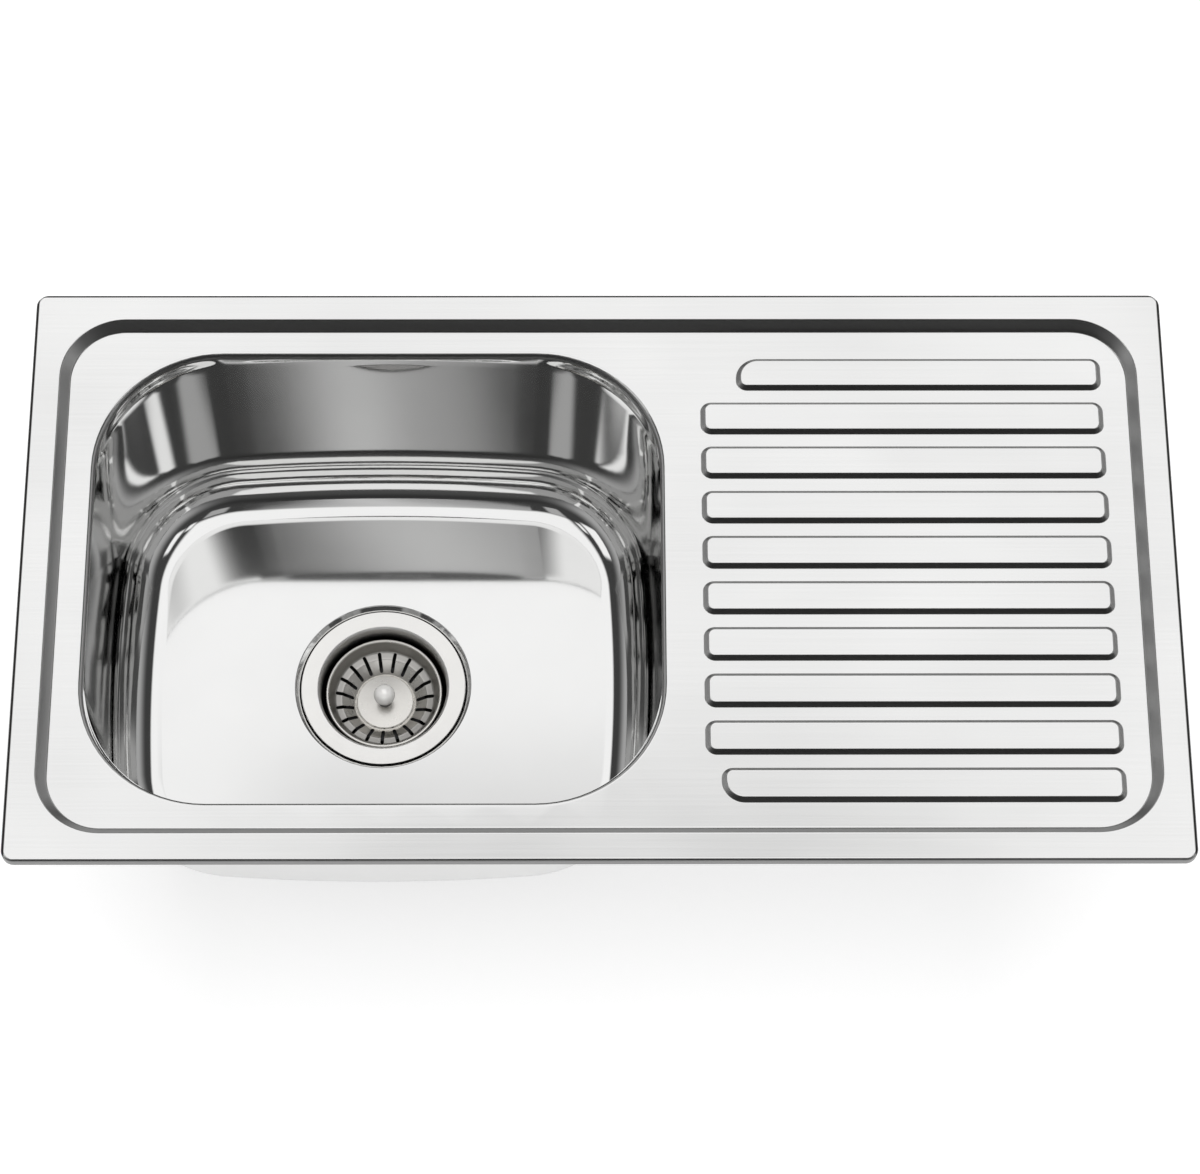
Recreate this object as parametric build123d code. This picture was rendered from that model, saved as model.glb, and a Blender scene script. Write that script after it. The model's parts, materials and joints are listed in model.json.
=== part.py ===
from build123d import *
from math import atan2, degrees, tan
import os

os.makedirs("parts", exist_ok=True)

# Frame: origin at the centre of the worktop cut-out, on the worktop's surface.
# +X runs to the drainer's end, +Y to the back, +Z up. All sizes are in millimetres.

# Sheet and outline
sheet = 0.8
sink_length = 750.0
sink_width = 400.0
outline_corner = 8.0
rim_height = 7.0
edge_bend = 2.0

# Step from the rim down to the recessed deck
rim_border = 18.6
step_run = 5.8
step_drop = 8.0
step_corner = 42.0
step_bend = 2.0
step_top_bend = 1.6

# Bowl opening in the deck, measured where the sheet starts to roll down, and the flat land round it
opening_length = 378.5
opening_land_left = 16.1
opening_land_side = 14.1
opening_corner = 85.0
opening_roll = 3.5
collar_drop = 5.0

# Bowl
bowl_depth = 188.0
bowl_run_left = 1.0
bowl_run_right = 9.2
bowl_run_side = 5.0
bowl_floor_corner = 78.0
bowl_floor_bend = 31.0

# Drainer ribs
rib_count = 10
rib_foot_width = 23.4
rib_land_left = 23.5
rib_land_right = 17.1
rib_land_back = 20.05
rib_land_front = 17.05
rib_back_indent = 24.0
rib_front_indent = 10.0
rib_rise = 3.2
rib_run = 2.8
rib_corner = 7.0
rib_end_flat = 2.0
rib_top_bend = 1.3

# Seat of the waste in the bowl floor
seat_top_radius = 61.0
seat_radius = 57.4
seat_depth = 4.4
waste_hole_radius = 45.7
waste_offset_y = -2.5

# Strainer cup
flange_radius = 57.0
mouth_roll = 2.0
cup_radius = 44.2
cup_taper_run = 1.0
cup_wall_depth = 32.0
cup_bend = 6.0
cup_cone_drop = 8.0
neck_outer_radius = 23.9
neck_wall = 1.9
neck_length = 22.0

# Stack that clamps the cup
flange_gasket_thickness = 1.0
gasket_margin = 1.2
sink_gasket_thickness = 3.0
sink_gasket_radius = 58.0
friction_ring_thickness = 1.0
friction_ring_radius = 56.0
thread_clearance = 0.1
nut_height = 10.0
nut_radius = 52.5
nut_flange_radius = 56.0
nut_flange_height = 3.0
nut_lug_count = 8
nut_lug_width = 7.0
nut_lug_reach = 58.5

# Basket
basket_rim_radius = 40.7
basket_rim_drop = 10.5
basket_rim_width = 2.0
basket_shoulder_radius = 35.0
basket_shoulder_drop = 20.4
basket_ledge_radius = 29.6
basket_ledge_drop = 21.2
basket_cone_radius = 20.7
basket_cone_drop = 28.2
basket_floor_radius = 19.6
basket_floor_drop = 27.0
basket_dome_rise = 1.6
basket_sheet = 0.6
basket_rim_bend = 1.2
basket_shoulder_bend = 2.0
basket_ledge_bend = 1.2
basket_foot_bend = 0.4
basket_floor_bend = 0.9
slot_count = 19
slot_first_angle = 97.5
slot_width = 2.5
slot_outer_radius = 34.7
slot_inner_radius = 21.9

# Knob, post and stopper
knob_radius = 7.4
knob_height = 11.2
knob_collar_radius = 4.9
knob_collar_height = 1.6
knob_neck_radius = 3.7
post_radius = 3.0
post_tail = 4.0
post_chamfer = 0.8
post_seat_clearance = 0.05
detent_depth = 0.5
detent_width = 1.4
drain_lift = 8.0
stopper_radius = 28.0
stopper_thickness = 6.0
stopper_land = 5.0
stopper_seat_gap = 0.3
stopper_washer_radius = 9.0
stopper_washer_thickness = 1.2

# Guide in the neck that the post slides in
guide_height = 7.0
guide_hub_radius = 6.5
guide_arm_count = 3
guide_arm_width = 4.0
guide_top_below_neck = 2.4
guide_weld_gap = 0.05
post_clearance = 0.08
catch_wire = 1.2
catch_play = 0.1
catch_opening = 60.0

# Seal under the rim and pad under the bowl
seal_width = 8.0
pad_length = 210.0
pad_width = 190.0
pad_corner = 20.0
pad_thickness = 2.5
pad_hole_margin = 4.0

# Stiffening channels under the drainer
stiffener_count = 2
stiffener_pitch = 130.0
stiffener_end_inset = 12.35
stiffener_span = 24.0
stiffener_flange = 11.0
stiffener_depth = 12.0
stiffener_sheet = 1.0

# Fixing clips
clip_edge_gap = 6.7
saddle_sheet = 2.0
saddle_width = 10.5
saddle_span = 20.0
saddle_foot = 9.0
saddle_drop = 24.0
screw_radius = 2.5
screw_clearance = 0.08
screw_tip_gap = 1.2
clip_travel = 14.0
screw_head_radius = 4.6
screw_head_height = 3.0
screw_slot_width = 1.2
screw_slot_depth = 1.4
nut_across_flats = 8.0
clip_nut_height = 3.8
worktop_thickest = 40.0
worktop_gap = 0.5
claw_sheet = 3.0
claw_width = 11.0
claw_reach = 28.0
claw_tooth = 2.2
claw_tooth_length = 3.0
claw_rest_gap = 0.3

# Reach of cutting tools past a face, and the slack in picking edges by height
cut_margin = 1.0
level_slack = 0.01

# Levels and places worked out from the driving dimensions
deck_z = rim_height - step_drop
deck_under_z = deck_z - sheet
collar_z = deck_z - collar_drop
bowl_floor_z = deck_z - bowl_depth
bowl_under_z = bowl_floor_z - sheet
seat_z = bowl_floor_z - seat_depth
seat_under_z = seat_z - sheet
flange_under_z = seat_z + flange_gasket_thickness
flange_z = flange_under_z + sheet
rib_outer_corner = rib_foot_width - rib_corner - rib_end_flat
step_half_length = sink_length / 2 - rim_border
step_half_width = sink_width / 2 - rim_border
deck_half_length = step_half_length - step_run
deck_half_width = step_half_width - step_run
opening_left = -deck_half_length + opening_land_left
opening_right = opening_left + opening_length
opening_width = 2 * (deck_half_width - opening_land_side)
wall_left = opening_left + opening_roll
wall_right = opening_right - opening_roll
wall_width = opening_width - 2 * opening_roll
wall_corner = opening_corner - opening_roll
floor_left = wall_left + bowl_run_left
floor_right = wall_right - bowl_run_right
floor_width = wall_width - 2 * bowl_run_side
waste_x = (floor_left + floor_right) / 2
waste_y = waste_offset_y
neck_bore_radius = neck_outer_radius - neck_wall

# Rows of the drainer
rib_left = opening_right + rib_land_left
rib_right = deck_half_length - rib_land_right
rib_row_width = 2 * deck_half_width - rib_land_back - rib_land_front
rib_row_centre = (rib_land_front - rib_land_back) / 2
rib_pitch = (rib_row_width - rib_foot_width) / (rib_count - 1)
drainer_centre = (rib_left + rib_right) / 2
stiffener_length = rib_row_width - 2 * stiffener_end_inset

# Levels of the waste
gasket_low_z = seat_under_z - sink_gasket_thickness
nut_top_z = gasket_low_z - friction_ring_thickness
cone_top_radius = cup_radius - cup_taper_run
cone_top_z = flange_z - cup_wall_depth
cone_slope = cup_cone_drop / (cone_top_radius - neck_bore_radius)
neck_top_z = cone_top_z - cup_cone_drop
neck_end_z = neck_top_z - neck_length
guide_z = neck_top_z - guide_top_below_neck - guide_height
guide_bore = post_radius + post_clearance
catch_centre = guide_bore + catch_wire / 2
dome_z = flange_z - basket_floor_drop + basket_dome_rise
post_hole = post_radius + post_seat_clearance
stopper_edge_z = neck_top_z + (stopper_radius - neck_bore_radius) * cone_slope + stopper_seat_gap
stopper_low_z = stopper_edge_z - stopper_land * cone_slope
stopper_top_z = stopper_edge_z + stopper_thickness
washer_z = stopper_low_z - stopper_washer_thickness

# Levels of the clips
bridge_z = deck_under_z - saddle_drop + saddle_sheet
screw_tip_z = deck_under_z - screw_tip_gap - clip_travel
claw_z = -worktop_thickest - worktop_gap - claw_tooth - claw_sheet
head_z = claw_z - claw_rest_gap


def save(node, solid):
    """Write one node's solids under its name."""
    export_step(solid, os.path.join("parts", node + ".step"))


def plate(left, right, width, corner, z):
    """Rounded rectangle from left to right, centred on Y, on the plane z."""
    outline = RectangleRounded(right - left, width, corner)
    return Pos((left + right) / 2, 0, z) * outline


def frustum(low, high):
    """Straight-sided solid between two outlines with matching corners."""
    return loft([low, high], ruled=True)


def disc_ring(outer, inner, z_low, z_high):
    """Flat ring round the waste's axis."""
    ring = Circle(outer) - Circle(inner)
    return Pos(waste_x, waste_y, z_low) * extrude(ring, z_high - z_low)


def turned(profile):
    """Solid of revolution round the waste's axis, from a face in XZ."""
    return Pos(waste_x, waste_y, 0) * revolve(profile, Axis.Z)


def thin_profile(points, bends, thickness, side):
    """Strip of even thickness along a line with rounded bends, in XZ."""
    line = FilletPolyline(*points, radius=bends)
    closed = offset(line, amount=thickness, side=side, closed=True)
    return Plane.XZ * make_face(closed)


def edges_at(solid, z, half_length, half_width):
    """Edges on the plane z that lie inside a centred rectangle."""
    level = solid.edges().filter_by_position(Axis.Z, z - level_slack, z + level_slack)
    inside = level.filter_by_position(Axis.X, -half_length, half_length)
    return inside.filter_by_position(Axis.Y, -half_width, half_width)


def rib_outline(index):
    """Foot outline of one drainer rib; the end ribs are cut back and rounder."""
    left = rib_left
    corners = [rib_corner] * 4
    if index == 0:
        left = rib_left + rib_back_indent
        corners[3] = rib_outer_corner
    if index == rib_count - 1:
        left = rib_left + rib_front_indent
        corners[0] = rib_outer_corner
    half = rib_foot_width / 2
    points = [(left, -half), (rib_right, -half), (rib_right, half), (left, half)]
    outline = make_face(FilletPolyline(*points, close=True, radius=corners))
    y = rib_row_centre + (rib_count - 1) / 2 * rib_pitch - index * rib_pitch
    return Pos(0, y, 0) * outline


def deck_form(depth):
    """Everything under the deck's surface, taken a given depth below it."""
    block = extrude(
        plate(-sink_length / 2 + depth, sink_length / 2 - depth,
              sink_width - 2 * depth, outline_corner - depth, collar_z),
        rim_height - depth - collar_z)
    rim_edges = block.faces().sort_by(Axis.Z)[-1].edges()
    block = fillet(rim_edges, edge_bend - depth)
    step_shift = depth * tan(atan2(step_drop, step_run) / 2)
    top_length = step_half_length + step_shift
    top_width = step_half_width + step_shift
    pan = frustum(
        plate(-top_length + step_run, top_length - step_run, 2 * (top_width - step_run),
              step_corner + step_shift - step_run, deck_z - depth),
        plate(-top_length, top_length, 2 * top_width, step_corner + step_shift,
              rim_height - depth))
    pan = fillet(pan.faces().sort_by(Axis.Z)[0].edges(), step_bend + depth)
    form = block - pan
    step_edges = edges_at(form, rim_height - depth, top_length + cut_margin, top_width + cut_margin)
    form = fillet(step_edges, step_top_bend - depth)
    hole = extrude(
        plate(wall_left - depth, wall_right + depth, wall_width + 2 * depth,
              wall_corner + depth, collar_z),
        deck_z - depth - collar_z)
    form = form - hole
    rolled = edges_at(form, deck_z - depth, step_half_length, step_half_width)
    rolled = rolled.filter_by_position(Axis.X, opening_left, opening_right)
    form = fillet(rolled, opening_roll - depth)
    rib_shift = depth * tan(atan2(rib_rise, rib_run) / 2)
    taper = degrees(atan2(rib_run, rib_rise))
    for index in range(rib_count):
        foot = offset(rib_outline(index), amount=-rib_shift) if depth else rib_outline(index)
        rib = extrude(foot, rib_rise, taper=taper)
        rib = fillet(rib.faces().sort_by(Axis.Z)[-1].edges(), rib_top_bend - depth)
        form = form + Pos(0, 0, deck_z - depth) * rib
    return form


def deck_panel():
    """Pressed rim, step, deck and ribs, with the collar that meets the bowl."""
    panel = deck_form(0) - deck_form(sheet)
    below = extrude(plate(-sink_length, sink_length, 2 * sink_width, outline_corner, collar_z), -collar_z)
    inside = extrude(
        plate(-step_half_length, step_half_length, 2 * step_half_width, step_corner, collar_z),
        -collar_z)
    return panel - (below - inside)


def bowl_form(depth):
    """The bowl's inner shape, grown outwards by a given depth."""
    high = plate(wall_left - depth, wall_right + depth, wall_width + 2 * depth,
                 wall_corner + depth, collar_z)
    low = plate(floor_left - depth, floor_right + depth, floor_width + 2 * depth,
                bowl_floor_corner + depth, bowl_floor_z - depth)
    form = frustum(low, high)
    form = fillet(form.faces().sort_by(Axis.Z)[0].edges(), bowl_floor_bend + depth)
    dish = frustum(Pos(0, 0, seat_z - depth) * Circle(seat_radius + depth),
                   Pos(0, 0, bowl_floor_z - depth) * Circle(seat_top_radius + depth))
    return form + Pos(waste_x, waste_y, 0) * dish


def bowl():
    """Deep-drawn bowl with the waste's seat pressed into its floor."""
    shell = bowl_form(sheet) - bowl_form(0)
    hole = Pos(waste_x, waste_y, seat_z) * Cylinder(waste_hole_radius, 2 * (sheet + cut_margin))
    return shell - hole


def rim_seal():
    """Foam strip under the rim, inside the turned-down edge."""
    inner_inset = edge_bend + seal_width
    outer = RectangleRounded(sink_length - 2 * edge_bend, sink_width - 2 * edge_bend,
                             outline_corner - edge_bend)
    inner = Rectangle(sink_length - 2 * inner_inset, sink_width - 2 * inner_inset)
    return extrude(outer - inner, rim_height - sheet)


def sound_pad():
    """Damping pad stuck under the bowl floor round the waste."""
    outline = RectangleRounded(pad_length, pad_width, pad_corner)
    outline = outline - Circle(seat_top_radius + sheet + pad_hole_margin)
    return Pos(waste_x, waste_y, bowl_under_z - pad_thickness) * extrude(outline, pad_thickness)


def top_hat(span, foot, drop, thickness, length):
    """Strip bent to a top hat, its feet under z = 0, run along Y."""
    half = span / 2
    outer = half + thickness + foot
    low = thickness - drop
    line = Polyline((-outer, 0), (-half, 0), (-half, low), (half, low), (half, 0), (outer, 0))
    section = make_face(offset(line, amount=thickness, side=Side.RIGHT, closed=True))
    return extrude(Plane.XZ * section, length / 2, both=True)


def drainer_stiffeners():
    """Top-hat channels spot-welded across the lands between the ribs."""
    channel = top_hat(stiffener_span, stiffener_flange, stiffener_depth, stiffener_sheet,
                      stiffener_length)
    first = drainer_centre - stiffener_pitch * (stiffener_count - 1) / 2
    return [Pos(first + i * stiffener_pitch, rib_row_centre, deck_under_z) * channel
            for i in range(stiffener_count)]


def strainer_cup():
    """Pressed flange, wall and cone, with the threaded outlet neck below."""
    line = [(flange_radius, flange_z), (cup_radius, flange_z), (cone_top_radius, cone_top_z),
            (neck_bore_radius, neck_top_z)]
    cup = revolve(thin_profile(line, [mouth_roll, cup_bend], sheet, Side.LEFT), Axis.Z)
    tube = Circle(neck_outer_radius) - Circle(neck_bore_radius)
    neck = Pos(0, 0, neck_end_z) * extrude(tube, neck_length)
    return Pos(waste_x, waste_y, 0) * (cup + neck)


def back_nut():
    """Ring nut under the bowl, with a flange and grip lugs."""
    bore = cup_radius + sheet + thread_clearance
    lug = Rectangle(nut_lug_reach, nut_lug_width, align=(Align.MIN, Align.CENTER))
    plan = Circle(nut_radius) + PolarLocations(0, nut_lug_count) * lug
    rim = extrude(Circle(nut_flange_radius), nut_flange_height)
    nut = extrude(plan, nut_height) + Pos(0, 0, nut_height - nut_flange_height) * rim
    nut = nut - extrude(Circle(bore), nut_height)
    return Pos(waste_x, waste_y, nut_top_z - nut_height) * nut


def post_guide():
    """Spider welded in the neck, with a bushed hub that the post slides in."""
    arm = Rectangle(neck_bore_radius, guide_arm_width, align=(Align.MIN, Align.CENTER))
    plan = Circle(guide_hub_radius) + PolarLocations(0, guide_arm_count) * arm
    plan = plan & Circle(neck_bore_radius - guide_weld_gap)
    spider = extrude(plan, guide_height) - extrude(Circle(guide_bore), guide_height)
    groove = Cylinder(catch_centre + catch_wire / 2 + catch_play, catch_wire + 2 * catch_play)
    spider = spider - Pos(0, 0, guide_height / 2) * groove
    return Pos(waste_x, waste_y, guide_z) * spider


def catch_ring():
    """Open wire ring in the guide that clicks into the post's grooves."""
    wire = Plane.XZ * Pos(catch_centre, 0) * Circle(catch_wire / 2)
    ring = revolve(wire, Axis.Z, 360 - catch_opening)
    return Pos(waste_x, waste_y, guide_z + guide_height / 2) * ring


def basket():
    """Strainer basket with a folded rim, ledge, slotted cone and domed floor."""
    line = [(basket_rim_radius, flange_z - basket_rim_drop),
            (basket_rim_radius - basket_rim_width, flange_z - basket_rim_drop),
            (basket_shoulder_radius, flange_z - basket_shoulder_drop),
            (basket_ledge_radius, flange_z - basket_ledge_drop),
            (basket_cone_radius, flange_z - basket_cone_drop),
            (basket_floor_radius, flange_z - basket_floor_drop),
            (post_hole, dome_z)]
    bends = [basket_rim_bend, basket_shoulder_bend, basket_ledge_bend, basket_foot_bend,
             basket_floor_bend]
    shell = revolve(thin_profile(line, bends, basket_sheet, Side.LEFT), Axis.Z)
    slot = SlotOverall(slot_outer_radius - slot_inner_radius, slot_width)
    mid = (slot_outer_radius + slot_inner_radius) / 2
    cuts = Sketch() + PolarLocations(mid, slot_count, slot_first_angle) * slot
    low = flange_z - basket_cone_drop - basket_sheet
    tool = Pos(0, 0, low) * extrude(cuts, basket_cone_drop - basket_rim_drop)
    return Pos(waste_x, waste_y, 0) * (shell - tool)


def knob():
    """Ball knob on a waisted neck, with a collar on the basket floor."""
    centre_z = dome_z + knob_height
    ball = Pos(0, 0, centre_z) * Sphere(knob_radius)
    neck = Pos(0, 0, dome_z) * extrude(Circle(knob_neck_radius), knob_height)
    collar = Pos(0, 0, dome_z) * extrude(Circle(knob_collar_radius), knob_collar_height)
    return Pos(waste_x, waste_y, 0) * (ball + neck + collar)


def post():
    """Rod from the knob down through the stopper into the guide."""
    low = guide_z - post_tail
    rod = Pos(0, 0, low) * extrude(Circle(post_radius), dome_z - low)
    rod = chamfer(rod.faces().sort_by(Axis.Z)[0].edges(), post_chamfer)
    ring = Cylinder(post_radius + cut_margin, detent_width)
    ring = ring - Cylinder(post_radius - detent_depth, detent_width)
    catch_z = guide_z + guide_height / 2
    rod = rod - [Pos(0, 0, catch_z) * ring, Pos(0, 0, catch_z - drain_lift) * ring]
    return Pos(waste_x, waste_y, 0) * rod


def stopper():
    """Rubber disc whose edge closes on the cup's cone."""
    inner = stopper_radius - stopper_land
    outline = Polyline((post_hole, stopper_low_z), (inner, stopper_low_z), (stopper_radius, stopper_edge_z),
                       (stopper_radius, stopper_top_z), (post_hole, stopper_top_z), close=True)
    return turned(Plane.XZ * make_face(outline))


def clip_saddle():
    """Strip bracket welded under the deck, bored for the screw."""
    saddle = top_hat(saddle_span, saddle_foot, saddle_drop, saddle_sheet, saddle_width)
    hole = Cylinder(screw_radius + screw_clearance, 2 * (saddle_sheet + cut_margin))
    hole = Pos(0, 0, -saddle_drop) * hole
    return Pos(0, 0, deck_under_z) * (saddle - hole)


def clip_nut():
    """Weld nut on the saddle's bridge."""
    blank = RegularPolygon(nut_across_flats / 2, 6, major_radius=False)
    ring = blank - Circle(screw_radius + screw_clearance)
    return Pos(0, 0, bridge_z) * extrude(ring, clip_nut_height)


def clip_screw():
    """Slotted screw, driven from below, that lifts the claw."""
    head = Pos(0, 0, head_z - screw_head_height) * extrude(Circle(screw_head_radius), screw_head_height)
    slot = Pos(0, 0, head_z - screw_head_height) * Box(
        2 * (screw_head_radius + cut_margin), screw_slot_width, 2 * screw_slot_depth)
    shank = Pos(0, 0, head_z) * extrude(Circle(screw_radius), screw_tip_z - head_z)
    return head - slot + shank


def clip_claw():
    """Swinging claw with an upturned tooth that grips under the worktop."""
    arm = Rectangle(claw_reach, claw_width, align=(Align.MIN, Align.CENTER))
    plan = Circle(claw_width / 2) + arm - Circle(screw_radius + screw_clearance)
    tooth = Pos(claw_reach - claw_tooth_length, 0) * Rectangle(
        claw_tooth_length, claw_width, align=(Align.MIN, Align.CENTER))
    claw = extrude(plan, claw_sheet) + Pos(0, 0, claw_sheet) * extrude(tooth, claw_tooth)
    return Pos(0, 0, claw_z) * claw


# Each clip's axis and the turn that points its claw's free side outwards
clip_line_y = deck_half_width - clip_edge_gap
clip_line_x = deck_half_length - clip_edge_gap
bowl_centre = (opening_left + opening_right) / 2
clip_places = [
    Pos(bowl_centre, clip_line_y, 0),
    Pos(drainer_centre, clip_line_y, 0),
    Pos(clip_line_x, 0, 0) * Rot(0, 0, -90),
    Pos(drainer_centre, -clip_line_y, 0) * Rot(0, 0, 180),
    Pos(bowl_centre, -clip_line_y, 0) * Rot(0, 0, 180),
    Pos(-clip_line_x, 0, 0) * Rot(0, 0, 90),
]

save("deck_panel", deck_panel())
save("bowl", bowl())
save("rim_seal", rim_seal())
save("sound_pad", sound_pad())
save("drainer_stiffeners", Compound(children=drainer_stiffeners()))
save("strainer_cup", strainer_cup())
save("flange_gasket", disc_ring(flange_radius - gasket_margin, cup_radius + mouth_roll + gasket_margin,
                                seat_z, flange_under_z))
save("sink_gasket", disc_ring(sink_gasket_radius, waste_hole_radius, gasket_low_z, seat_under_z))
save("friction_ring", disc_ring(friction_ring_radius, waste_hole_radius, nut_top_z, gasket_low_z))
save("back_nut", back_nut())
save("post_guide", post_guide())
save("catch_ring", catch_ring())
save("basket", basket())
save("knob", knob())
save("post", post())
save("stopper", stopper())
save("stopper_washer", disc_ring(stopper_washer_radius, post_hole, washer_z, stopper_low_z))
save("clip_saddles", Compound(children=[place * clip_saddle() for place in clip_places]))
save("clip_nuts", Compound(children=[place * clip_nut() for place in clip_places]))
for number, place in enumerate(clip_places, start=1):
    save(f"clip_screw_{number}", place * clip_screw())
    save(f"clip_claw_{number}", place * clip_claw())
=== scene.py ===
import json
import math

import bmesh
import bpy
from mathutils import Matrix, Vector


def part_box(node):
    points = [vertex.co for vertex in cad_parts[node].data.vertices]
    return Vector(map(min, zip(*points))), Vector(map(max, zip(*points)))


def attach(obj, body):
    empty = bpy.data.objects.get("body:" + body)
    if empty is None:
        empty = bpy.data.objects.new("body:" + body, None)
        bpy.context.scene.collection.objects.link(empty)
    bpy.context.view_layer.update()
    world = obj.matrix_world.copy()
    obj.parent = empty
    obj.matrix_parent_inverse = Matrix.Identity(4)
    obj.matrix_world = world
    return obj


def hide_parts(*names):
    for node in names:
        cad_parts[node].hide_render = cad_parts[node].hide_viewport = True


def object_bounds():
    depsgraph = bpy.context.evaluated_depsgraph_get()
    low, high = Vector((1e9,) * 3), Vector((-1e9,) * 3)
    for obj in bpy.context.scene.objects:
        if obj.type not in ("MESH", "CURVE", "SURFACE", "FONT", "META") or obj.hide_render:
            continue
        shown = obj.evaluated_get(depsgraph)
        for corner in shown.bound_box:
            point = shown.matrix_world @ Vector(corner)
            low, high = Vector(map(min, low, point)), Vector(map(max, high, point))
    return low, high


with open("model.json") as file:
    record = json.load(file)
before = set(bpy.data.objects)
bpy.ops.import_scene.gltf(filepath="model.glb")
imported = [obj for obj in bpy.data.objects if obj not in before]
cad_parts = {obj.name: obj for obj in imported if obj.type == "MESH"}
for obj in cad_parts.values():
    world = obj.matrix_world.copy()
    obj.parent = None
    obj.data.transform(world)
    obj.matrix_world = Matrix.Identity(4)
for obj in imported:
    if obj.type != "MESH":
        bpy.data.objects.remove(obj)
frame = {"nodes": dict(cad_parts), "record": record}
cad_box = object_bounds()
nodes = frame["nodes"]
slot_of = {part["node"]: part["material_slot"] for part in frame["record"]["subparts"]}
MM = 0.001

# Sheet sizes in millimetres, the same as the solids have
SHEET = 0.8
RIM_HEIGHT = 7.0
EDGE_BEND = 2.0
OUTLINE_CORNER = 8.0

# Step from the rim down to the deck
RIM_BORDER = 18.6
STEP_RUN = 5.8
STEP_DROP = 8.0
STEP_CORNER = 42.0
STEP_TOP_BEND = 1.6
STEP_FOOT_BEND = 2.0

# Bowl opening and bowl
OPENING_LEFT = -334.5
OPENING_RIGHT = 44.0
OPENING_WIDTH = 323.0
OPENING_CORNER = 85.0
OPENING_ROLL = 3.5
COLLAR_DROP = 5.0
BOWL_DEPTH = 188.0
BOWL_RUN_LEFT = 1.0
BOWL_RUN_RIGHT = 9.2
BOWL_RUN_SIDE = 5.0
BOWL_FLOOR_CORNER = 78.0
BOWL_FLOOR_BEND = 31.0
BOWL_BOW = 0.076
SEAT_TOP_RADIUS = 61.0
SEAT_RADIUS = 57.4
SEAT_DEPTH = 4.4
SEAT_BEND = 1.2
WASTE_HOLE_RADIUS = 45.7

# Drainer ribs
RIB_COUNT = 10
RIB_PITCH = 32.3
RIB_ROW_CENTRE = -1.5
RIB_WIDTH = 23.4
RIB_LEFT = 67.5
RIB_RIGHT = 333.5
RIB_BACK_INDENT = 24.0
RIB_FRONT_INDENT = 10.0
RIB_RISE = 3.2
RIB_RUN = 2.8
RIB_CORNER = 7.0
RIB_OUTER_CORNER = 14.4
RIB_FOOT_BEND = 0.9
RIB_TOP_BEND = 1.3

# Waste
FLANGE_RADIUS = 57.0
FLANGE_EDGE_BEND = 0.35
MOUTH_ROLL = 2.0
CUP_RADIUS = 44.2
CUP_TAPER_RUN = 1.0
CUP_WALL_DEPTH = 32.0
CUP_BEND = 6.0
CUP_CONE_DROP = 8.0
NECK_OUTER_RADIUS = 23.9
NECK_BORE_RADIUS = 22.0
NECK_LENGTH = 22.0
THREAD_PITCH = 1.8
THREAD_DEPTH = 0.5

# Basket and knob
BASKET_SHEET = 0.6
BASKET_RIM_RADIUS = 40.7
BASKET_RIM_DROP = 10.5
BASKET_RIM_WIDTH = 2.0
BASKET_RIM_SKIRT = 1.8
BASKET_SHOULDER_RADIUS = 35.0
BASKET_SHOULDER_DROP = 20.4
BASKET_LEDGE_RADIUS = 29.6
BASKET_LEDGE_DROP = 21.2
BASKET_CONE_RADIUS = 20.7
BASKET_CONE_DROP = 28.2
BASKET_FLOOR_RADIUS = 19.6
BASKET_FLOOR_DROP = 27.0
BASKET_DOME_RISE = 1.6
BASKET_BORE = 3.05
BASKET_BENDS = (0.9, 1.0, 2.0, 1.2, 0.4, 0.9)
SLOT_COUNT = 19
SLOT_FIRST_ANGLE = 97.5
SLOT_WIDTH = 2.5
SLOT_OUTER_RADIUS = 34.7
SLOT_INNER_RADIUS = 21.9
KNOB_RADIUS = 7.4
KNOB_HEIGHT = 11.2
KNOB_COLLAR_RADIUS = 4.9
KNOB_COLLAR_HEIGHT = 1.6
KNOB_NECK_RADIUS = 3.7
KNOB_BEND = 0.5

# Mesh fineness and edges
CORNER_STEPS = 18
SIDE_STEPS = 14
ROUND_STEPS = 160
BEND_STEPS = 7
FLOOR_BEND_STEPS = 22
LAND_STEPS = 8
SLOT_END_STEPS = 4
BALL_STEPS = 28
SHARP_ANGLE = math.radians(38)
CAD_BEVEL = 0.25
CAD_BEVEL_STEPS = 2
CAD_WELD = 0.005
SLOT_WELD = 0.001
NORMAL_WEIGHT = 100

# Rows of the bowl's wall: share of its height from the collar down, and share of its bow
WALL_ROWS = [(0.0, 0.0), (0.012, 0.12), (0.025, 0.5), (0.04, 0.88), (0.055, 1.0)]
WALL_ROWS += [(tenth / 10, 1.0) for tenth in range(1, 10)]

# Camera fitted to the photograph: place in metres, turn, and lens and sensor in millimetres
CAMERA_PLACE = (-0.0122, -0.9601, 2.1710)
CAMERA_PITCH = math.radians(66.37)
CAMERA_YAW = math.radians(0.77)
CAMERA_ROLL = math.radians(0.66)
CAMERA_LENS = 109.8
SENSOR_WIDTH = 36.0

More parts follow.
